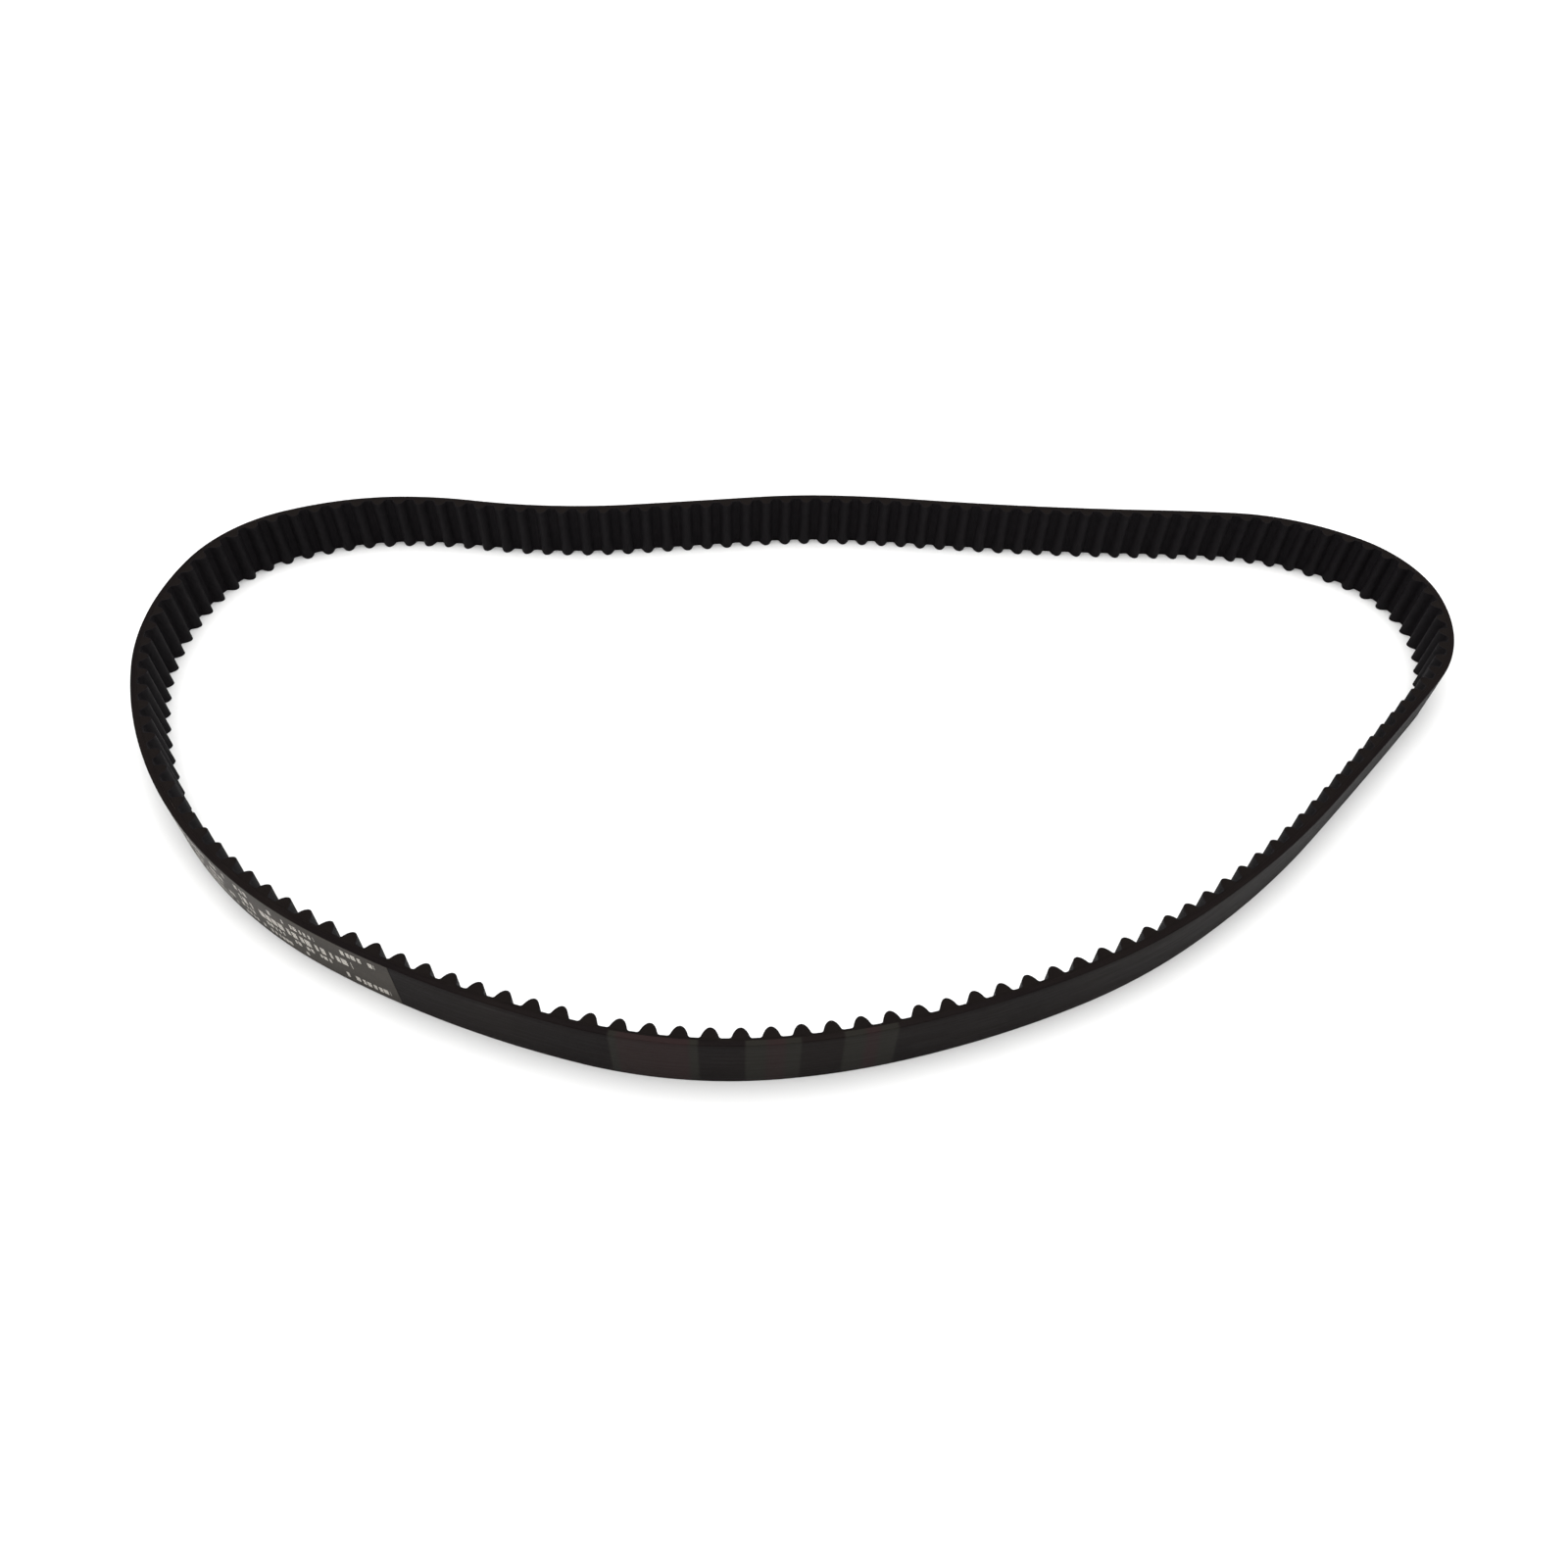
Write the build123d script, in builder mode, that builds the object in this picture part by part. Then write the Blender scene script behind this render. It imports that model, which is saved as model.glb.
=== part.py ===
from build123d import *
from collections import namedtuple
import cmath
import math
import os

# A toothed drive belt: an endless moulded ring of rubber, cord and fabric, standing on its
# edge in the free shape that it springs to. Millimetres, +Z up. The origin is the middle of
# the loop, on the surface that it stands on.

# ---- driving dimensions ----
PITCH = 8.0                # tooth to tooth, along the cord line
WIDTH = 20.0               # edge to edge, the belt's height as it stands
THICKNESS = 5.3            # back face to tooth tip
TOOTH_HEIGHT = 3.05        # land to tooth tip, facing fabric included
TOOTH_BASE = 5.0           # across the tooth, where its flanks would meet the land
ROOT_RADIUS = 0.8          # fillet between a flank and the land
FABRIC = 0.22              # facing fabric
CORD_DIAMETER = 0.85       # twisted glass cord
CORD_FILM = 0.041          # rubber between the cord and the fabric
CORD_TURNS = 16            # turns of cord side by side across the belt
CORD_EDGE = 1.0            # belt edge to the middle of the outermost turn
CORE_FACET_HEIGHT = 0.35   # flat at the foot of a tooth core, under the root fillet
CORE_FACET_ANGLE = 32.5    # that flat's slope, degrees from the land
LABEL_THICKNESS = 0.06     # printed transfer on the back face
LABEL_FIRST = 88.7         # teeth along the loop to its near end
LABEL_TEETH = 14.6         # its length, in teeth
LABEL_MARGIN = 0.4         # belt edge to label edge

# The free shape: arcs laid end to end, clockwise from above, as (teeth, degrees of bend).
# Every arc ends halfway between two teeth. Three of the bends are trimmed to close the loop.
SPANS = [
    (4, 8.5), (4, 4.5), (12, -5), (4, 3), (6, 32), (5, 56), (6, 43), (10, 1.5),
    (8, 10.5), (5, 10.5), (7, 9.5), (4, 8), (7, 20.5), (10, 13.5), (5, 13), (12, 31.5),
    (7, 33), (5, 47), (6, 26.5), (3, 9), (8, -16), (6, -0.5),
]
TRIMMED = (5, 12, 17)      # the spans that are trimmed
START_HEADING = 10.6       # degrees, direction of the loop where the first span starts

# ---- what follows from them ----
TEETH = sum(teeth for teeth, bend in SPANS)
CORD_DEPTH = FABRIC + CORD_FILM + CORD_DIAMETER / 2       # land to cord line
BED = CORD_DEPTH - FABRIC                                 # cord line to the fabric's back
BACK = THICKNESS - TOOTH_HEIGHT - CORD_DEPTH              # cord line to the back face
CORD_SPACING = (WIDTH - 2 * CORD_EDGE) / (CORD_TURNS - 1)

Span = namedtuple("Span", "first teeth radius point direction")


# ---- the loop: points and directions are complex numbers, x + yj ----
def along(span, teeth):
    """Point and direction this many teeth into a span; a positive radius bends right."""
    swing = cmath.exp(-1j * teeth * PITCH / span.radius)
    point = span.point - 1j * span.direction * span.radius * (1 - swing)
    return point, span.direction * swing


def lay(bends):
    """The spans laid end to end with these bends, and the point where the last one ends."""
    spans, first = [], 0
    point, direction = 0j, cmath.exp(1j * math.radians(START_HEADING))
    for (teeth, _), bend in zip(SPANS, bends):
        spans.append(Span(first, teeth, teeth * PITCH / math.radians(bend), point, direction))
        point, direction = along(spans[-1], teeth)
        first += teeth
    return spans, point


def closed_spans():
    """The spans with three bends trimmed, by Newton's method, so that the loop closes."""
    bends = [bend for _, bend in SPANS]
    one, two, rest = TRIMMED
    step = 0.01

    def gap(add_one, add_two):
        tried = list(bends)
        tried[one] += add_one
        tried[two] += add_two
        tried[rest] += 360 - sum(tried)
        return lay(tried)[1], tried

    for _ in range(12):
        miss, bends = gap(0, 0)
        by_one = (gap(step, 0)[0] - miss) / step
        by_two = (gap(0, step)[0] - miss) / step
        scale = (by_one.conjugate() * by_two).imag
        add_one = -(miss.conjugate() * by_two).imag / scale
        add_two = (miss.conjugate() * by_one).imag / scale
        bends = gap(add_one, add_two)[1]
    return lay(bends)[0]


LOOP = closed_spans()


def span_at(s):
    """The span that holds the point s teeth along the loop."""
    return [span for span in LOOP if span.first <= s % TEETH + 1e-9][-1]


def tooth_place(s, x, y):
    """World point x along and y inward, in the straight frame of a place on the cord line."""
    span = span_at(s)
    point, direction = along(span, s % TEETH - span.first)
    place = point + direction * (x - 1j * y)
    return place.real, place.imag


def loop_point(s, inward):
    """World point s teeth along the loop, this far inside its cord line."""
    return tooth_place(s, 0, inward)


def parallel(start, end, inward):
    """Arcs parallel to the cord line between two places, one to each span on the way."""
    firsts = [lap + span.first for lap in (0, TEETH) for span in LOOP]
    stops = [start, *[first for first in firsts if start < first < end], end]
    arcs = []
    for one, two in zip(stops, stops[1:]):
        places = (one, (one + two) / 2, two)
        arcs.append(ThreePointArc(*[loop_point(place, inward) for place in places]))
    return arcs


back_box = Wire(parallel(0, TEETH, -BACK)).bounding_box().center()
LOOP = [span._replace(point=span.point - complex(back_box.X, back_box.Y)) for span in LOOP]


# ---- one tooth: x along the belt, y inward; u runs from 0 at its crown to 1 at its base ----
def flank(u, half_base):
    """Place and steepness of the flank: a cubic a little fuller than a parabola."""
    x = half_base * u * (9 - u ** 2) / 8
    steepness = 16 * TOOTH_HEIGHT * u / (half_base * (9 - 3 * u ** 2))
    return x, TOOTH_HEIGHT * (1 - u ** 2), steepness


def crown(s, base, half_base, u):
    """The tooth's crown from one flank to the other, as one exact Bezier curve."""
    x, height, _ = flank(u, half_base)
    control_x = half_base * u * (3 + u ** 2) / 8
    control_y = base + height + 4 * TOOTH_HEIGHT * u ** 2 / 3
    places = [(-x, base + height), (-control_x, control_y), (control_x, control_y),
              (x, base + height)]
    return Bezier(*[tooth_place(s, *place) for place in places])


def fillet_at_root(radius):
    """Where on the flank the root fillet starts, its middle, and its foot along the span.

    The land is an arc of the span's own radius less the cord depth, so the fillet is found
    by halving: its middle has to stand one fillet radius over that arc.
    """
    low, high = 0.5, 1.2
    for _ in range(60):
        u = (low + high) / 2
        x, height, steepness = flank(u, TOOTH_BASE / 2)
        across = ROOT_RADIUS / math.hypot(steepness, 1)
        middle = complex(x + steepness * across, CORD_DEPTH + height + across)
        from_centre = math.copysign(abs(middle - complex(0, radius)), radius)
        if radius - CORD_DEPTH - from_centre > ROOT_RADIUS:
            low = u
        else:
            high = u
    return u, middle, math.atan(middle.real / (radius - middle.imag)) * radius / PITCH


def root_fillet(s, side, u, middle, foot):
    """Arc between the land and one flank."""
    x, height, _ = flank(u, TOOTH_BASE / 2)
    on_land = complex(*loop_point(s + side * foot, CORD_DEPTH))
    on_flank = complex(*tooth_place(s, side * x, CORD_DEPTH + height))
    centre = complex(*tooth_place(s, side * middle.real, middle.imag))
    between = on_land + on_flank - 2 * centre
    halfway = centre + ROOT_RADIUS * between / abs(between)
    return ThreePointArc(*[(p.real, p.imag) for p in (on_land, halfway, on_flank)])


def running_edges():
    """The side of the fabric that meets the pulleys: land, fillet, crown, fillet."""
    edges = []
    for tooth in range(TEETH):
        s = tooth + 0.5
        u, middle, foot = fillet_at_root(span_at(s).radius)
        next_foot = fillet_at_root(span_at(s + 1).radius)[2]
        edges.append(root_fillet(s, -1, u, middle, foot))
        edges.append(crown(s, CORD_DEPTH, TOOTH_BASE / 2, u))
        edges.append(root_fillet(s, 1, u, middle, foot))
        edges += parallel(s + foot, s + 1 - next_foot, CORD_DEPTH)
    return edges


def core_half_base():
    """Half base of a tooth core, whose flank at mid height lies one fabric under the tooth's."""
    x, height, steepness = flank(math.sqrt(0.5), TOOTH_BASE / 2)
    core_x = x - FABRIC * math.hypot(1, 1 / steepness)
    core_u = math.sqrt(1 - (height + FABRIC) / TOOTH_HEIGHT)
    return core_x / flank(core_u, 1)[0]


CORE_HALF_BASE = core_half_base()
CORE_U = math.sqrt(1 - CORE_FACET_HEIGHT / TOOTH_HEIGHT)     # where the facet meets the flank
CORE_X = flank(CORE_U, CORE_HALF_BASE)[0]
CORE_FOOT = (CORE_X + CORE_FACET_HEIGHT / math.tan(math.radians(CORE_FACET_ANGLE))) / PITCH


def core_edges(tooth):
    """Facet, crown and facet of one tooth core, over the adhesion rubber."""
    s = tooth + 0.5
    facets = [Line(loop_point(s + side * CORE_FOOT, BED),
                   tooth_place(s, side * CORE_X, BED + CORE_FACET_HEIGHT)) for side in (-1, 1)]
    return [facets[0], crown(s, BED, CORE_HALF_BASE, CORE_U), facets[1]]


def bonded_edges():
    """The side of the fabric that is bonded to the rubber."""
    edges = []
    for tooth in range(TEETH):
        edges += core_edges(tooth)
        edges += parallel(tooth + 0.5 + CORE_FOOT, tooth + 1.5 - CORE_FOOT, BED)
    return edges


# ---- the section of the belt: x inward from the cord line, y up ----
START = LOOP[0]
SECTION = Plane(
    origin=(START.point.real, START.point.imag, 0),
    x_dir=(START.direction.imag, -START.direction.real, 0),
    z_dir=(-START.direction.real, -START.direction.imag, 0),
)
CORD_PLACES = [(0, CORD_EDGE + turn * CORD_SPACING) for turn in range(CORD_TURNS)]

CORD_LINE = Wire(parallel(0, TEETH, 0))


def rubber_ring(outside, inside):
    """Ring of rubber between two lines parallel to the cord line, with the cords' grooves."""
    with BuildPart() as ring:
        with BuildSketch(SECTION):
            with Locations(((outside + inside) / 2, WIDTH / 2)):
                Rectangle(inside - outside, WIDTH)
            with Locations(*CORD_PLACES):
                Circle(CORD_DIAMETER / 2, mode=Mode.SUBTRACT)
        sweep(path=CORD_LINE)
    return ring.part


def write(part, name):
    part.label = name
    export_step(part, f"parts/{name}.step")


os.makedirs("parts", exist_ok=True)

# ---- backing rubber: cord line to the smooth back face ----
with BuildPart() as backing_rubber:
    add(rubber_ring(-BACK, 0))
write(backing_rubber.part, "backing_rubber")

# ---- adhesion rubber: the thin bed between the cords and the fabric ----
with BuildPart() as adhesion_rubber:
    add(rubber_ring(0, BED))
write(adhesion_rubber.part, "adhesion_rubber")

# ---- tension cords: turn after turn, S-twisted and Z-twisted by turns ----
for turn, place in enumerate(CORD_PLACES):
    with BuildPart() as cord:
        with BuildSketch(SECTION):
            with Locations(place):
                Circle(CORD_DIAMETER / 2)
        sweep(path=CORD_LINE)
    write(cord.part, f"cord_turn_{turn + 1:02d}_{'sz'[turn % 2]}_twist")

# ---- tooth rubber: one moulded core to each tooth, on the adhesion rubber ----
core_outlines = [
    core_edges(tooth) + parallel(tooth + 0.5 - CORE_FOOT, tooth + 0.5 + CORE_FOOT, BED)
    for tooth in range(TEETH)
]
with BuildPart() as tooth_rubber:
    with BuildSketch():
        add([Face(Wire(outline)) for outline in core_outlines])
    extrude(amount=WIDTH)
write(tooth_rubber.part, "tooth_rubber")

# ---- facing fabric: one skin over teeth and lands alike ----
skin = Face(Wire(bonded_edges()), [Wire(running_edges())])
with BuildPart() as facing_fabric:
    with BuildSketch():
        add(skin)
    extrude(amount=WIDTH)
write(facing_fabric.part, "facing_fabric")

# ---- printed transfer label: a thin film on the back face ----
LABEL_END = LABEL_FIRST + LABEL_TEETH
LABEL_FACE = -BACK - LABEL_THICKNESS
label_sides = parallel(LABEL_FIRST, LABEL_END, -BACK) + parallel(LABEL_FIRST, LABEL_END, LABEL_FACE)
with BuildPart() as transfer_label:
    with BuildSketch(Plane.XY.offset(LABEL_MARGIN)):
        with BuildLine():
            add(label_sides)
            for end in (LABEL_FIRST, LABEL_END):
                Line(loop_point(end, -BACK), loop_point(end, LABEL_FACE))
        make_face()
    extrude(amount=WIDTH - 2 * LABEL_MARGIN)
write(transfer_label.part, "transfer_label")
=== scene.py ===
import cmath
import math

import bpy
from mathutils import Matrix, Vector


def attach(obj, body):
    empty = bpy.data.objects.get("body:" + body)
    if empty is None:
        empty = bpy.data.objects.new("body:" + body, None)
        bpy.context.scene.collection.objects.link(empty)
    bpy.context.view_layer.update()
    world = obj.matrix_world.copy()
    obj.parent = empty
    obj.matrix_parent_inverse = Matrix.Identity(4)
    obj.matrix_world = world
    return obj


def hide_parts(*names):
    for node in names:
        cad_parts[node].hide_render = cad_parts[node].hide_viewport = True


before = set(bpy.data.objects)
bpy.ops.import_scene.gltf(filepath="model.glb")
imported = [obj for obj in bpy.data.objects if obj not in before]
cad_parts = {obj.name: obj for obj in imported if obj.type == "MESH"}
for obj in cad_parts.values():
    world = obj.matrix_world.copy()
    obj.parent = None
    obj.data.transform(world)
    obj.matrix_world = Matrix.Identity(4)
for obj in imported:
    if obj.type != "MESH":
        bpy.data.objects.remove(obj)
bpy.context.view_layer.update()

# A toothed timing belt standing on its edge. Metres. The back, the fabric and the transfer
# are meshes swept along the same arcs as the frame's parts; the cut rubber between them and
# the cords inside are the frame's own nodes.

MM = 0.001

# ---- the belt's sizes, as in the frame ----
PITCH = 8.0 * MM
WIDTH = 20.0 * MM
THICKNESS = 5.3 * MM
TOOTH_HEIGHT = 3.05 * MM
TOOTH_BASE = 5.0 * MM
ROOT_RADIUS = 0.8 * MM
FABRIC = 0.22 * MM
CORD_DIAMETER = 0.85 * MM
CORD_FILM = 0.041 * MM
CORD_TURNS = 16
CORD_EDGE = 1.0 * MM
CORE_FACET_HEIGHT = 0.35 * MM
CORE_FACET_ANGLE = math.radians(32.5)
LABEL_THICKNESS = 0.06 * MM
LABEL_FIRST = 88.7
LABEL_TEETH = 14.6
LABEL_MARGIN = 0.4 * MM
CORD_DEPTH = FABRIC + CORD_FILM + CORD_DIAMETER / 2
BED = CORD_DEPTH - FABRIC
BACK = THICKNESS - TOOTH_HEIGHT - CORD_DEPTH

# (teeth, degrees of bend) of each arc, clockwise from above
SPANS = [
    (4, 8.5), (4, 4.5), (12, -5), (4, 3), (6, 32), (5, 56), (6, 43), (10, 1.5),
    (8, 10.5), (5, 10.5), (7, 9.5), (4, 8), (7, 20.5), (10, 13.5), (5, 13), (12, 31.5),
    (7, 33), (5, 47), (6, 26.5), (3, 9), (8, -16), (6, -0.5),
]
TRIMMED = (5, 12, 17)
START_HEADING = math.radians(10.6)
TEETH = sum(teeth for teeth, bend in SPANS)

# ---- finish of the meshes ----
EDGE_ROUND = 0.22 * MM          # the back's long corners, softened by the knife
EDGE_STEPS = 3
BACK_STEP = 0.25                # teeth between stations along the back
GROOVE_STEPS = 3                # facets to half a cord groove
FACE_STEPS = 10                 # strips across the back and the fabric
CROWN_STEPS = 14
FILLET_STEPS = 4
LAND_STEPS = 2
LABEL_STEPS = 120               # stations along the label
LABEL_FACE_STEPS = 8
SHARP_ANGLE = math.radians(40)  # between faces; steeper edges shade as corners
UV_LAYER = "belt"


# ---- the loop: points and directions are complex numbers, x + yj ----
def along(span, teeth):
    """Point and direction this many teeth into a span; a positive radius bends right."""
    _, _, radius, point, direction = span
    swing = cmath.exp(-1j * teeth * PITCH / radius)
    return point - 1j * direction * radius * (1 - swing), direction * swing


def lay(bends):
    """The spans laid end to end with these bends, and the point where the last one ends."""
    spans, first = [], 0
    point, direction = 0j, cmath.exp(1j * START_HEADING)
    for (teeth, _), bend in zip(SPANS, bends):
        spans.append((first, teeth, teeth * PITCH / math.radians(bend), point, direction))
        point, direction = along(spans[-1], teeth)
        first += teeth
    return spans, point


def closed_spans():
    """The spans with three bends trimmed, by Newton's method, so that the loop closes."""
    bends = [bend for _, bend in SPANS]
    one, two, rest = TRIMMED
    step = 0.01

    def gap(add_one, add_two):
        tried = list(bends)
        tried[one] += add_one
        tried[two] += add_two
        tried[rest] += 360 - sum(tried)
        return lay(tried)[1], tried

    for _ in range(12):
        miss, bends = gap(0, 0)
        by_one = (gap(step, 0)[0] - miss) / step
        by_two = (gap(0, step)[0] - miss) / step
        scale = (by_one.conjugate() * by_two).imag
        add_one = -(miss.conjugate() * by_two).imag / scale
        add_two = (miss.conjugate() * by_one).imag / scale
        bends = gap(add_one, add_two)[1]
    return lay(bends)[0]


LOOP = closed_spans()


def span_at(s):
    return [span for span in LOOP if span[0] <= s % TEETH + 1e-9][-1]


def place(s, x, y):
    """World point x along and y inward from the cord line, s teeth along the loop."""
    span = span_at(s)
    point, direction = along(span, s % TEETH - span[0])
    return point + direction * (x - 1j * y) - MIDDLE


def radius_at(s):
    return span_at(s)[2]


MIDDLE = 0j
BOX_STEPS = 40
outline = [place(step / BOX_STEPS, 0, -BACK) for step in range(TEETH * BOX_STEPS)]
MIDDLE = complex(
    (max(p.real for p in outline) + min(p.real for p in outline)) / 2,
    (max(p.imag for p in outline) + min(p.imag for p in outline)) / 2,
)


# ---- one tooth: u runs from 0 at its crown to 1 at its base ----
def flank(u, half_base):
    """Place and steepness of the flank: a cubic a little fuller than a parabola."""
    x = half_base * u * (9 - u ** 2) / 8
    steepness = 16 * TOOTH_HEIGHT * u / (half_base * (9 - 3 * u ** 2))
    return x, TOOTH_HEIGHT * (1 - u ** 2), steepness


def core_half_base():
    x, height, steepness = flank(math.sqrt(0.5), TOOTH_BASE / 2)
    core_x = x - FABRIC * math.hypot(1, 1 / steepness)
    return core_x / flank(math.sqrt(1 - (height + FABRIC) / TOOTH_HEIGHT), 1)[0]


CORE_HALF = core_half_base()
CORE_U = math.sqrt(1 - CORE_FACET_HEIGHT / TOOTH_HEIGHT)
CORE_X = flank(CORE_U, CORE_HALF)[0]
CORE_FOOT = (CORE_X + CORE_FACET_HEIGHT / math.tan(CORE_FACET_ANGLE)) / PITCH


def fillet_at_root(radius):
    """Where on the flank the root fillet starts, its middle, and its foot along the span."""
    low, high = 0.5, 1.2
    for _ in range(60):
        u = (low + high) / 2
        x, height, steepness = flank(u, TOOTH_BASE / 2)
        across = ROOT_RADIUS / math.hypot(steepness, 1)
        middle = complex(x + steepness * across, CORD_DEPTH + height + across)
        from_centre = math.copysign(abs(middle - complex(0, radius)), radius)
        low, high = (u, high) if radius - CORD_DEPTH - from_centre > ROOT_RADIUS else (low, u)
    return u, middle, math.atan(middle.real / (radius - middle.imag)) * radius / PITCH


def mix(a, b, share):
    return a + (b - a) * share


def half_tooth(s, side):
    """Points from mid-gap to the tooth's middle: on the running side and on the bonded one."""
    top_u, middle, foot = fillet_at_root(radius_at(s))
    running, bonded = [], []
    for step in range(LAND_STEPS):
        share = step / LAND_STEPS
        running.append(place(s + side * mix(0.5, foot, share), 0, CORD_DEPTH))
        bonded.append(place(s + side * mix(0.5, CORE_FOOT, share), 0, BED))
    touch_x, touch_y, _ = flank(top_u, TOOTH_BASE / 2)
    centre = place(s, side * middle.real, middle.imag)
    start = place(s + side * foot, 0, CORD_DEPTH) - centre
    sweep = cmath.phase((place(s, side * touch_x, CORD_DEPTH + touch_y) - centre) / start)
    facet_foot = place(s + side * CORE_FOOT, 0, BED)
    facet_top = place(s, side * CORE_X, BED + CORE_FACET_HEIGHT)
    for step in range(FILLET_STEPS):
        share = step / FILLET_STEPS
        running.append(centre + start * cmath.exp(1j * sweep * share))
        bonded.append(mix(facet_foot, facet_top, share))
    for step in range(CROWN_STEPS + 1):
        share = 1 - step / CROWN_STEPS
        x, height, _ = flank(top_u * share, TOOTH_BASE / 2)
        core_x, core_height, _ = flank(CORE_U * share, CORE_HALF)
        running.append(place(s, side * x, CORD_DEPTH + height))
        bonded.append(place(s, side * core_x, BED + core_height))
    return running, bonded


# ---- meshes ----
def make_piece(name, points, faces, uvs, material, slot, replaced):
    """A mesh piece from points, faces and one (u, v) in metres to each point of each face."""
    mesh = bpy.data.meshes.new(name)
    mesh.from_pydata(points, [], faces)
    layer = mesh.uv_layers.new(name=UV_LAYER)
    for loop, uv in zip(layer.data, uvs):
        loop.uv = uv
    mesh.materials.append(material)
    for polygon in mesh.polygons:
        polygon.use_smooth = True
    mesh.set_sharp_from_angle(angle=SHARP_ANGLE)
    mesh.update()
    piece = bpy.data.objects.new(name, mesh)
    bpy.context.collection.objects.link(piece)
    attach(piece, "root")
    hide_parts(replaced)
    return piece


def swept(rows, us, vs, closed):
    """Points, faces and UVs of a tube: rows of section points, each row a closed section."""
    count = len(rows[0])
    points = [point for row in rows for point in row]
    faces, uvs = [], []
    last = len(rows) if closed else len(rows) - 1
    for i in range(last):
        j = (i + 1) % len(rows)
        for k in range(count):
            m = (k + 1) % count
            faces.append((i * count + k, i * count + m, j * count + m, j * count + k))
            uvs += [(us[i], vs[k]), (us[i], vs[k + 1]), (us[i + 1], vs[k + 1]), (us[i + 1], vs[k])]
    if not closed:
        faces.append(tuple(reversed(range(count))))
        faces.append(tuple((last * count) + k for k in range(count)))
        uvs += [(us[0], vs[k]) for k in reversed(range(count))]
        uvs += [(us[last], vs[k]) for k in range(count)]
    return points, faces, uvs


def section_lengths(section):
    """Distance round a closed section at each of its points, and back at the first."""
    lengths = [0.0]
    for one, two in zip(section, section[1:] + section[:1]):
        lengths.append(lengths[-1] + math.dist(one, two))
    return lengths


def rounded_corner(inward, z, start):
    """Points of a quarter circle about a place in the section, from an angle, clockwise."""
    angles = [start - math.pi / 2 * step / EDGE_STEPS for step in range(EDGE_STEPS + 1)]
    return [(inward + EDGE_ROUND * math.cos(a), z + EDGE_ROUND * math.sin(a)) for a in angles]


def back_section():
    """Section of the backing, (inward, z): up the back, over the top, down the grooves."""
    low = rounded_corner(-BACK + EDGE_ROUND, EDGE_ROUND, 1.5 * math.pi)
    high = rounded_corner(-BACK + EDGE_ROUND, WIDTH - EDGE_ROUND, math.pi)
    face = [(-BACK, mix(EDGE_ROUND, WIDTH - EDGE_ROUND, step / FACE_STEPS))
            for step in range(1, FACE_STEPS)]
    grooves = []
    spacing = (WIDTH - 2 * CORD_EDGE) / (CORD_TURNS - 1)
    for turn in reversed(range(CORD_TURNS)):
        z = CORD_EDGE + turn * spacing
        for step in range(GROOVE_STEPS * 2 + 1):
            angle = math.pi / 2 + math.pi * step / (GROOVE_STEPS * 2)
            grooves.append((CORD_DIAMETER / 2 * math.cos(angle),
                            z + CORD_DIAMETER / 2 * math.sin(angle)))
    return low + face + high + [(0.0, WIDTH)] + grooves + [(0.0, 0.0)]


def make_back(material):
    section = back_section()
    stations = [step * BACK_STEP for step in range(round(TEETH / BACK_STEP))]
    rows = []
    for s in stations:
        row = []
        for inward, z in section:
            point = place(s, 0, inward)
            row.append((point.real, point.imag, z))
        rows.append(row)
    us = [s * PITCH for s in stations] + [TEETH * PITCH]
    return make_piece("belt_back", *swept(rows, us, section_lengths(section), True),
                      material, "backing_rubber", "backing_rubber")


def make_facing(material):
    running, bonded = [], []
    for tooth in range(TEETH):
        s = tooth + 0.5
        before, after = half_tooth(s, -1), half_tooth(s, 1)
        running += before[0] + after[0][-2:0:-1]
        bonded += before[1] + after[1][-2:0:-1]
    lengths = [0.0]
    for one, two in zip(running, running[1:] + running[:1]):
        lengths.append(lengths[-1] + abs(two - one))
    heights = [WIDTH * step / FACE_STEPS for step in range(FACE_STEPS + 1)]
    rows = []
    for near, far in zip(running, bonded):
        row = [(near.real, near.imag, z) for z in reversed(heights)]
        row += [(far.real, far.imag, 0.0), (far.real, far.imag, WIDTH)]
        rows.append(row)
    vs = heights + [WIDTH + FABRIC, 2 * WIDTH + FABRIC, 2 * WIDTH + 2 * FABRIC]
    return make_piece("belt_facing", *swept(rows, lengths, vs, True),
                      material, "facing_fabric", "facing_fabric")


def make_transfer(material):
    """The printed film, laid on the back face, its long edges bevelled."""
    stations = [LABEL_FIRST + LABEL_TEETH * step / LABEL_STEPS for step in range(LABEL_STEPS + 1)]
    rows = []
    for s in stations:
        row = []
        for inward, z in label_section():
            point = place(s, 0, inward)
            row.append((point.real, point.imag, z))
        rows.append(row)
    us = [(s - LABEL_FIRST) * PITCH for s in stations]
    return make_piece("belt_transfer", *swept(rows, us, label_heights(), False),
                      material, "transfer_label", "transfer_label")


def label_section():
    """Section of the film, (inward, z): up its outside, then down the back of the belt."""
    low, high = LABEL_MARGIN, WIDTH - LABEL_MARGIN
    bevelled = low + LABEL_THICKNESS, high - LABEL_THICKNESS
    out = [(-BACK - LABEL_THICKNESS, mix(*bevelled, step / LABEL_FACE_STEPS))
           for step in range(LABEL_FACE_STEPS + 1)]
    return [(-BACK, low)] + out + [(-BACK, high)]


def label_heights():
    section = label_section()
    return [z for _, z in section] + [section[0][1]]


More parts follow.
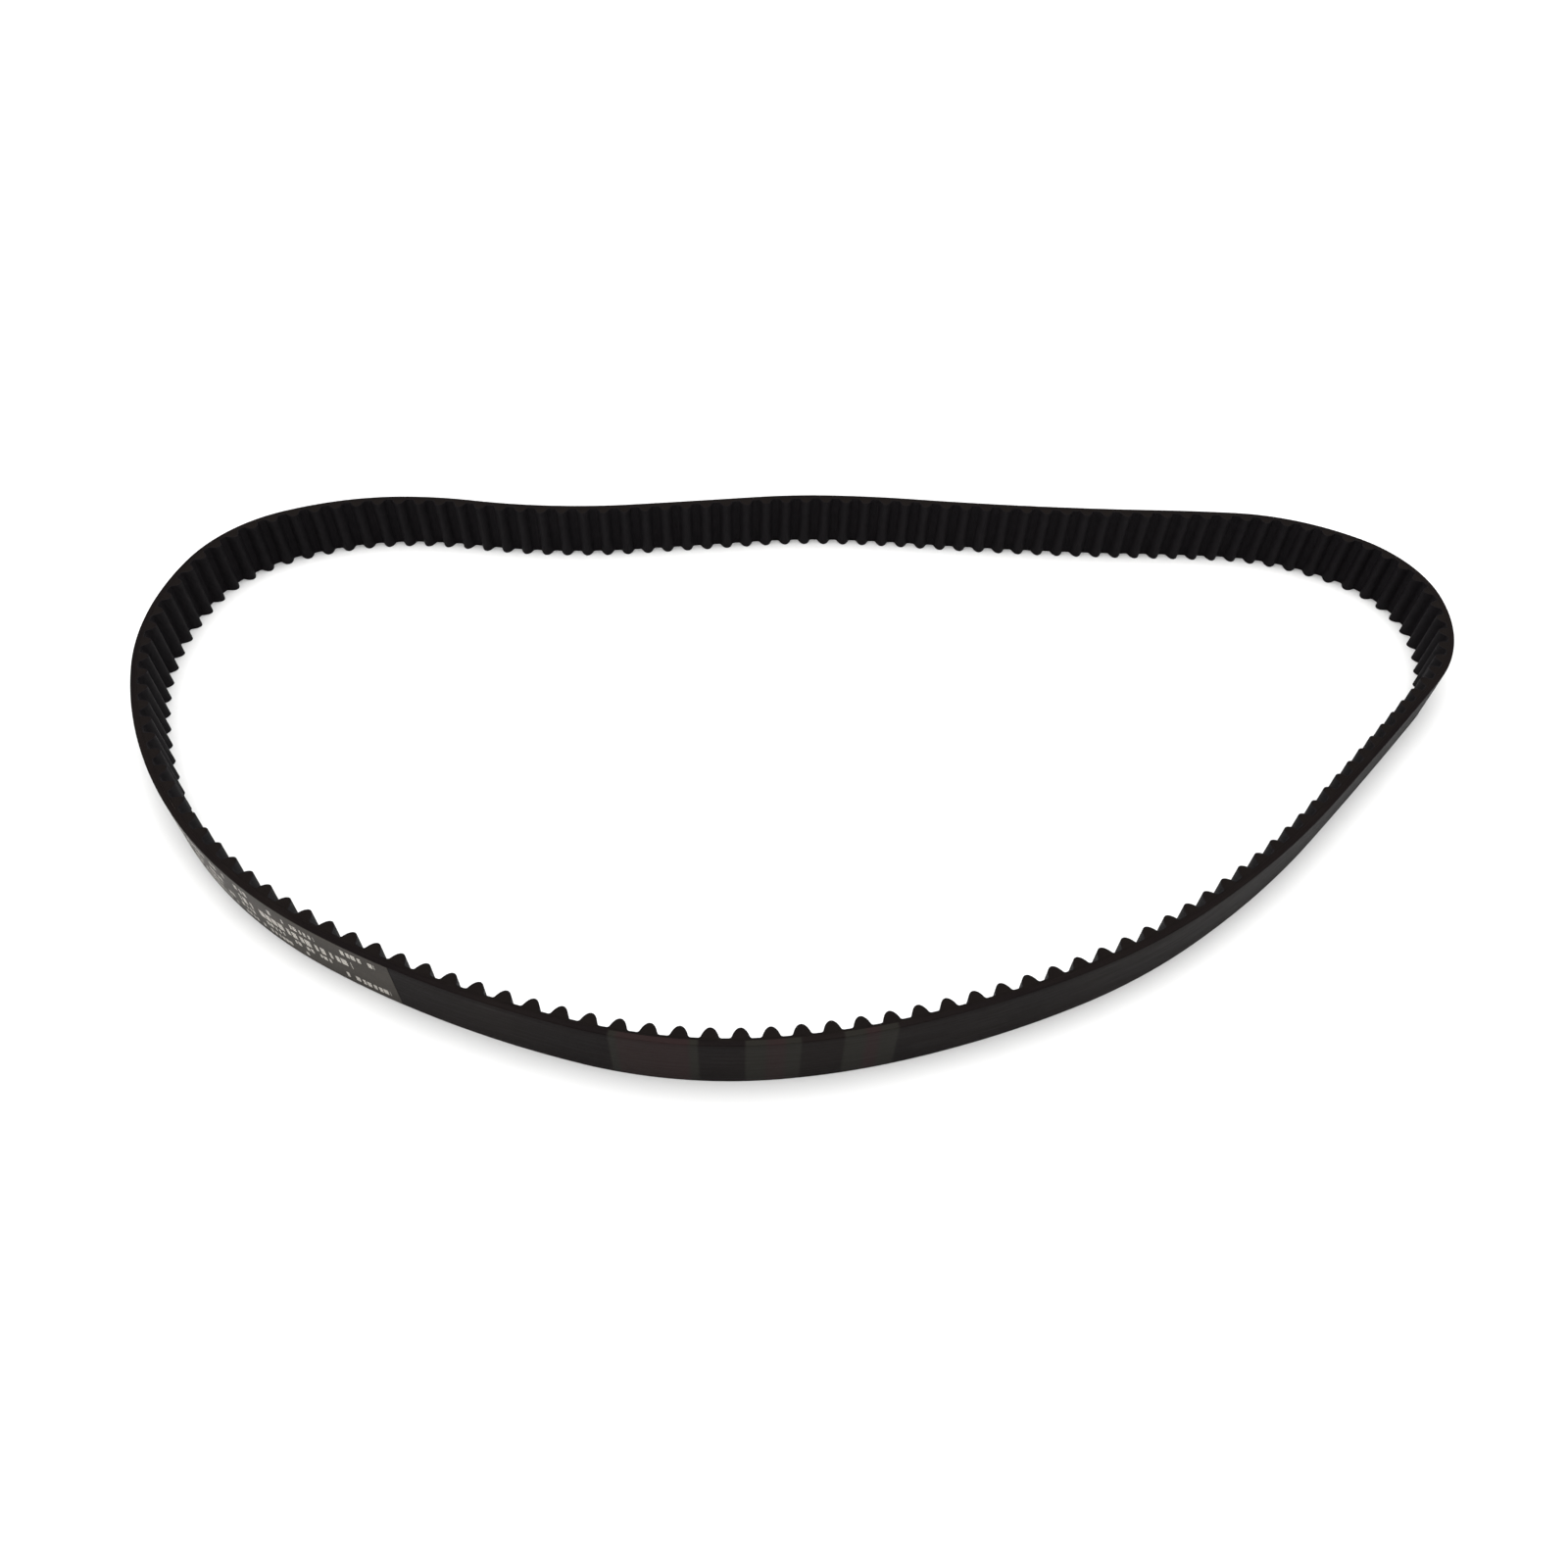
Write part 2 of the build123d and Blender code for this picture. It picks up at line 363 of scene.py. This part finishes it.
# ---- materials ----
class Nodes:
    """A material's node tree, with a short way to add and link nodes."""

    def __init__(self, name):
        self.material = bpy.data.materials.new(name)
        self.material.use_nodes = True
        self.tree = self.material.node_tree
        self.shader = self.tree.nodes["Principled BSDF"]
        self.made = 0

    def add(self, kind, inputs=(), **settings):
        node = self.tree.nodes.new(kind)
        node.location = (-220 * (1 + self.made // 6), -180 * (self.made % 6))
        self.made += 1
        for key, value in settings.items():
            setattr(node, key, value)
        for key, value in dict(inputs).items():
            self.set(node.inputs[key], value)
        return node

    def set(self, socket, value):
        if isinstance(value, bpy.types.NodeSocket):
            self.tree.links.new(value, socket)
        else:
            socket.default_value = value

    def math(self, operation, one, two=0.0):
        inputs = {0: one, 1: two}
        return self.add("ShaderNodeMath", inputs, operation=operation).outputs[0]

    def ramp(self, value, low, high, out_low=0.0, out_high=1.0):
        inputs = {"Value": value, "From Min": low, "From Max": high,
                  "To Min": out_low, "To Max": out_high}
        return self.add("ShaderNodeMapRange", inputs).outputs["Result"]

    def colour(self, share, one, two):
        node = self.add("ShaderNodeMix", data_type="RGBA")
        self.set(node.inputs[0], share)
        self.set(node.inputs[6], one)
        self.set(node.inputs[7], two)
        return node.outputs[2]

    def belt_uv(self):
        """The piece's own distances in metres: along the belt and across it."""
        uv = self.add("ShaderNodeUVMap", uv_map=UV_LAYER)
        parts = self.add("ShaderNodeSeparateXYZ", {0: uv.outputs["UV"]})
        return uv.outputs["UV"], parts.outputs["X"], parts.outputs["Y"]

    def noise(self, vector, scale, detail=3.0, stretch=(1, 1, 1), roughness=0.5):
        mapped = self.add("ShaderNodeMapping", {"Vector": vector, "Scale": stretch})
        inputs = {"Vector": mapped.outputs["Vector"], "Scale": scale, "Detail": detail,
                  "Roughness": roughness}
        return self.add("ShaderNodeTexNoise", inputs).outputs["Fac"]

    def here(self):
        return self.add("ShaderNodeTexCoord").outputs["Object"]

    def bump(self, height, distance, strength):
        inputs = {"Height": height, "Distance": distance, "Strength": strength}
        return self.add("ShaderNodeBump", inputs).outputs["Normal"]

    def finish(self, colour, roughness, normal=None, **fixed):
        self.set(self.shader.inputs["Base Color"], colour)
        self.set(self.shader.inputs["Roughness"], roughness)
        if normal is not None:
            self.set(self.shader.inputs["Normal"], normal)
        for key, value in fixed.items():
            self.shader.inputs[key.replace("_", " ")].default_value = value
        return self.material


def rgb(red, green, blue):
    return (red, green, blue, 1.0)


# stretches of the back with a faint film left by handling: first and last tooth along the
# loop, then the first and last tooth of the redder part of each
FILMED = [(77.86, 80.78, 78.16, 80.5), (74.55, 76.35, 75.06, 75.67), (71.33, 73.13, 71.94, 72.41)]
FILM_EDGE = 0.35 * MM


def window(nodes, value, low, high, soft):
    """1 between low and high and 0 outside, with edges this soft."""
    rise = nodes.ramp(value, low - soft, low + soft)
    fall = nodes.ramp(value, high - soft, high + soft, 1.0, 0.0)
    return nodes.math("MULTIPLY", rise, fall)


def back_rubber():
    """Ground chloroprene: warm near-black, satin, with fine lengthwise grinding marks."""
    nodes = Nodes("back_rubber")
    uv, u, _ = nodes.belt_uv()
    here = nodes.here()
    patches = nodes.noise(here, 28.0, 4.0)
    grinding = nodes.noise(uv, 900.0, 4.0, (0.06, 1.0, 1.0), 0.6)
    grain = nodes.noise(here, 5200.0, 2.0)
    base = nodes.colour(nodes.ramp(patches, 0.35, 0.65), rgb(0.0036, 0.0021, 0.0023),
                        rgb(0.0062, 0.0040, 0.0036))
    base = nodes.colour(nodes.ramp(grinding, 0.52, 0.80, 0.0, 0.55), base,
                        rgb(0.0125, 0.0098, 0.0086))
    films = reds = 0.0
    for first, last, red_first, red_last in FILMED:
        films = nodes.math("ADD", films, window(nodes, u, first * PITCH, last * PITCH, FILM_EDGE))
        red = window(nodes, u, red_first * PITCH, red_last * PITCH, 2 * FILM_EDGE)
        reds = nodes.math("ADD", reds, red)
    smear = nodes.noise(uv, 60.0, 2.0, (1.0, 0.12, 1.0))
    redness = nodes.math("MULTIPLY", reds, nodes.ramp(smear, 0.3, 0.6, 0.55, 1.0))
    film = nodes.colour(redness, rgb(0.0150, 0.0138, 0.0112), rgb(0.0195, 0.0108, 0.0108))
    patchy = nodes.math("MULTIPLY", films, nodes.ramp(grinding, 0.1, 0.6, 0.72, 0.95))
    colour = nodes.colour(patchy, base, film)
    rough = nodes.ramp(grinding, 0.25, 0.75, 0.5, 0.66)
    relief = nodes.math("ADD", nodes.math("MULTIPLY", grinding, 0.7),
                        nodes.math("MULTIPLY", grain, 0.5))
    normal = nodes.bump(relief, 0.00012, 0.8)
    return nodes.finish(colour, rough, normal, Specular_IOR_Level=0.042)


def facing_cloth():
    """Rubber-dipped nylon twill: near-black, with a diagonal rib and a faint violet cast."""
    nodes = Nodes("facing_cloth")
    _, u, v = nodes.belt_uv()
    here = nodes.here()
    thread = 0.42 * MM
    diagonal = nodes.math("ADD", u, nodes.math("MULTIPLY", v, 0.55))
    rib = nodes.math("SINE", nodes.math("MULTIPLY", diagonal, 2 * math.pi / thread))
    pick = nodes.math("SINE", nodes.math("MULTIPLY", v, 2 * math.pi / (0.62 * thread)))
    weave = nodes.math("MULTIPLY", nodes.ramp(rib, -1.0, 1.0),
                       nodes.ramp(pick, -1.0, 1.0, 0.55, 1.0))
    dip = nodes.noise(here, 340.0, 3.0)
    colour = nodes.colour(nodes.ramp(dip, 0.35, 0.7), rgb(0.0028, 0.0020, 0.0026),
                          rgb(0.0052, 0.0040, 0.0048))
    colour = nodes.colour(nodes.math("MULTIPLY", weave, 0.6), colour, rgb(0.0115, 0.0105, 0.0120))
    rough = nodes.ramp(weave, 0.0, 1.0, 0.72, 0.5)
    normal = nodes.bump(weave, 0.00012, 0.8)
    return nodes.finish(colour, rough, normal, Specular_IOR_Level=0.07)


def cut_rubber():
    """Knife-cut rubber at the belt's edges: matt, with fine drag marks and fibre specks."""
    nodes = Nodes("cut_rubber")
    here = nodes.here()
    drag = nodes.noise(here, 2600.0, 4.0, (1.0, 1.0, 0.2), 0.65)
    specks = nodes.noise(here, 5200.0, 1.0)
    shade = nodes.noise(here, 120.0, 2.0)
    base = nodes.colour(shade, rgb(0.0042, 0.0028, 0.0026), rgb(0.0074, 0.0054, 0.0046))
    fibres = nodes.math("MULTIPLY", nodes.ramp(specks, 0.68, 0.74), 0.4)
    colour = nodes.colour(fibres, base, rgb(0.026, 0.024, 0.021))
    rough = nodes.ramp(drag, 0.3, 0.7, 0.62, 0.82)
    normal = nodes.bump(drag, 0.00012, 0.8)
    return nodes.finish(colour, rough, normal, Specular_IOR_Level=0.05)


def glass_cord():
    """Dipped glass cord: dull straw brown, with its twist as a fine ripple."""
    nodes = Nodes("glass_cord")
    here = nodes.here()
    strands = nodes.noise(here, 2400.0, 2.0)
    colour = nodes.colour(strands, rgb(0.20, 0.17, 0.12), rgb(0.33, 0.29, 0.22))
    normal = nodes.bump(strands, 0.00008, 0.6)
    return nodes.finish(colour, nodes.ramp(strands, 0.3, 0.7, 0.5, 0.7), normal)


# rows of printed marks on the transfer: low and high edge across the belt, mark length,
# start and end along the label, share of places left blank; millimetres
PRINT_ROWS = [
    (15.0, 17.4, 1.9, 5.0, 17.0, 0.12),
    (14.2, 16.4, 1.7, 26.0, 44.0, 0.15),
    (14.6, 16.9, 2.1, 52.0, 92.0, 0.15),
    (9.2, 12.4, 2.6, 14.0, 58.0, 0.08),
    (9.8, 11.8, 1.8, 66.0, 104.0, 0.18),
    (6.0, 7.9, 1.6, 22.0, 84.0, 0.20),
    (2.6, 5.0, 1.9, 3.0, 18.0, 0.12),
    (2.4, 4.2, 1.6, 32.0, 96.0, 0.22),
]


STROKE_PITCH = 0.9 * MM    # across the belt, between the notches in a mark


def printed_row(nodes, u, v, row, seed):
    """Short upright marks of two widths in a row, with blanks, as a mask."""
    low, high, length, start, end, blank = row
    cells = nodes.math("DIVIDE", u, length * MM)
    number = nodes.math("FLOOR", cells)
    chance = nodes.add("ShaderNodeTexWhiteNoise", {"W": nodes.math("ADD", number, seed * 17.3)},
                       noise_dimensions="1D").outputs["Value"]
    present = nodes.math("GREATER_THAN", chance, blank)
    stroke = nodes.ramp(chance, blank, 1.0, 0.35, 0.82)
    inside = nodes.math("LESS_THAN", nodes.math("FRACT", cells), stroke)
    across = window(nodes, v, low * MM, high * MM, 0.06 * MM)
    within = window(nodes, u, start * MM, end * MM, 0.1 * MM)
    mask = nodes.math("MULTIPLY", nodes.math("MULTIPLY", present, inside),
                      nodes.math("MULTIPLY", across, within))
    strokes = nodes.math("MULTIPLY", nodes.math("ADD", v, chance), 1 / STROKE_PITCH)
    notch = nodes.math("FRACT", strokes)
    return nodes.math("MULTIPLY", mask, nodes.math("GREATER_THAN", notch, 0.22))


def transfer_ink():
    """Grey-olive transfer film with worn rows of pale generic marks."""
    nodes = Nodes("transfer_ink")
    uv, u, v = nodes.belt_uv()
    worn = nodes.noise(uv, 1500.0, 4.0, (1.0, 1.0, 1.0), 0.7)
    blotch = nodes.noise(uv, 120.0, 3.0, (0.4, 1.0, 1.0))
    ground = nodes.colour(nodes.ramp(blotch, 0.3, 0.7), rgb(0.0220, 0.0178, 0.0138),
                          rgb(0.0370, 0.0308, 0.0245))
    marks = 0.0
    for seed, row in enumerate(PRINT_ROWS):
        marks = nodes.math("ADD", marks, printed_row(nodes, u, v, row, seed))
    broken = nodes.math("MULTIPLY", marks, nodes.ramp(worn, 0.32, 0.50, 0.35, 1.0))
    colour = nodes.colour(broken, ground, rgb(0.56, 0.53, 0.48))
    rough = nodes.ramp(worn, 0.2, 0.8, 0.4, 0.56)
    normal = nodes.bump(worn, 0.00003, 0.4)
    return nodes.finish(colour, rough, normal, Specular_IOR_Level=0.07)


# ---- stage ----
FLOOR_HALF = 12.0          # metres
FLOOR_DROP = 0.1 * MM      # below the belt's lower edge
GLOW_REACH = (0.8, 2.2)    # the floor glows by degrees past here, so that no horizon shows
GLOW = 0.62


def make_stage():
    nodes = Nodes("pale_floor")
    speckle = nodes.noise(nodes.here(), 40.0, 3.0)
    colour = nodes.colour(speckle, rgb(0.86, 0.86, 0.855), rgb(0.89, 0.89, 0.885))
    distance = nodes.add("ShaderNodeVectorMath", {0: nodes.here()}, operation="LENGTH")
    far_glow = nodes.ramp(distance.outputs["Value"], *GLOW_REACH, 0.0, GLOW)
    nodes.set(nodes.shader.inputs["Emission Color"], rgb(1.0, 1.0, 1.0))
    nodes.set(nodes.shader.inputs["Emission Strength"], far_glow)
    material = nodes.finish(colour, 0.9, Specular_IOR_Level=0.1)
    mesh = bpy.data.meshes.new("floor")
    corners = [(x * FLOOR_HALF, y * FLOOR_HALF, 0) for x, y in ((-1, -1), (1, -1), (1, 1), (-1, 1))]
    mesh.from_pydata(corners, [], [(0, 1, 2, 3)])
    mesh.materials.append(material)
    floor = bpy.data.objects.new("floor", mesh)
    floor.location.z = -FLOOR_DROP
    bpy.context.collection.objects.link(floor)


# name, place, what it points at, size and watts
LIGHTS = [
    ("overhead", (0.0, 0.15, 1.5), (0.0, 0.0, 0.0), (1.8, 1.4), 34.0),
    ("left_front", (-1.2, -0.7, 0.5), (-0.1, -0.05, 0.0), (0.9, 0.7), 4.6),
    ("right_front", (1.1, -0.9, 0.7), (0.1, 0.0, 0.0), (0.9, 0.7), 0.6),
]


def make_light(name, place_at, target, size, power):
    data = bpy.data.lights.new(name, "AREA")
    data.shape = "RECTANGLE"
    data.size, data.size_y = size
    data.energy = power
    light = bpy.data.objects.new(name, data)
    light.location = place_at
    aim = Vector(target) - Vector(place_at)
    light.rotation_euler = aim.to_track_quat("-Z", "Y").to_euler()
    bpy.context.collection.objects.link(light)


WORLD_LIGHT = 0.48         # as the belt and the floor see it
WORLD_SEEN = 1.0           # as the camera sees it, level with the lit floor


def make_lights():
    for light in LIGHTS:
        make_light(*light)
    world = bpy.data.worlds.new("studio")
    world.use_nodes = True
    tree = world.node_tree
    background = tree.nodes["Background"]
    background.inputs["Color"].default_value = (1.0, 1.0, 1.0, 1.0)
    rays = tree.nodes.new("ShaderNodeLightPath")
    strength = tree.nodes.new("ShaderNodeMapRange")
    strength.inputs["To Min"].default_value = WORLD_LIGHT
    strength.inputs["To Max"].default_value = WORLD_SEEN
    tree.links.new(rays.outputs["Is Camera Ray"], strength.inputs["Value"])
    tree.links.new(strength.outputs["Result"], background.inputs["Strength"])
    bpy.context.scene.world = world


CAMERA_PLACE = (-8.5 * MM, -255.5 * MM, 277.4 * MM)
CAMERA_TILT = math.radians(49.1)        # below level
CAMERA_ROLL = math.radians(2.65)
CAMERA_LENS = 25.32                     # millimetres, as the sensor's width is
SENSOR_WIDTH = 36.0


def make_camera():
    data = bpy.data.cameras.new("camera")
    data.lens = CAMERA_LENS
    data.sensor_width = SENSOR_WIDTH
    data.clip_start = 0.01
    camera = bpy.data.objects.new("camera", data)
    ahead = Vector((0.0, math.cos(CAMERA_TILT), -math.sin(CAMERA_TILT)))
    right = Vector((1.0, 0.0, 0.0))
    up = Vector((0.0, math.sin(CAMERA_TILT), math.cos(CAMERA_TILT)))
    rolled_right = right * math.cos(CAMERA_ROLL) + up * math.sin(CAMERA_ROLL)
    rolled_up = up * math.cos(CAMERA_ROLL) - right * math.sin(CAMERA_ROLL)
    turn = Matrix((rolled_right, rolled_up, -ahead)).transposed()
    camera.matrix_world = Matrix.Translation(CAMERA_PLACE) @ turn.to_4x4()
    bpy.context.collection.objects.link(camera)
    bpy.context.scene.camera = camera


bpy.context.scene.view_settings.view_transform = "Standard"
make_camera()
make_lights()
make_stage()
make_back(back_rubber())
make_facing(facing_cloth())
make_transfer(transfer_ink())
rubber, cord = cut_rubber(), glass_cord()
for name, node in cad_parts.items():
    for slot in node.material_slots:
        slot.material = cord if name.startswith("cord_turn") else rubber
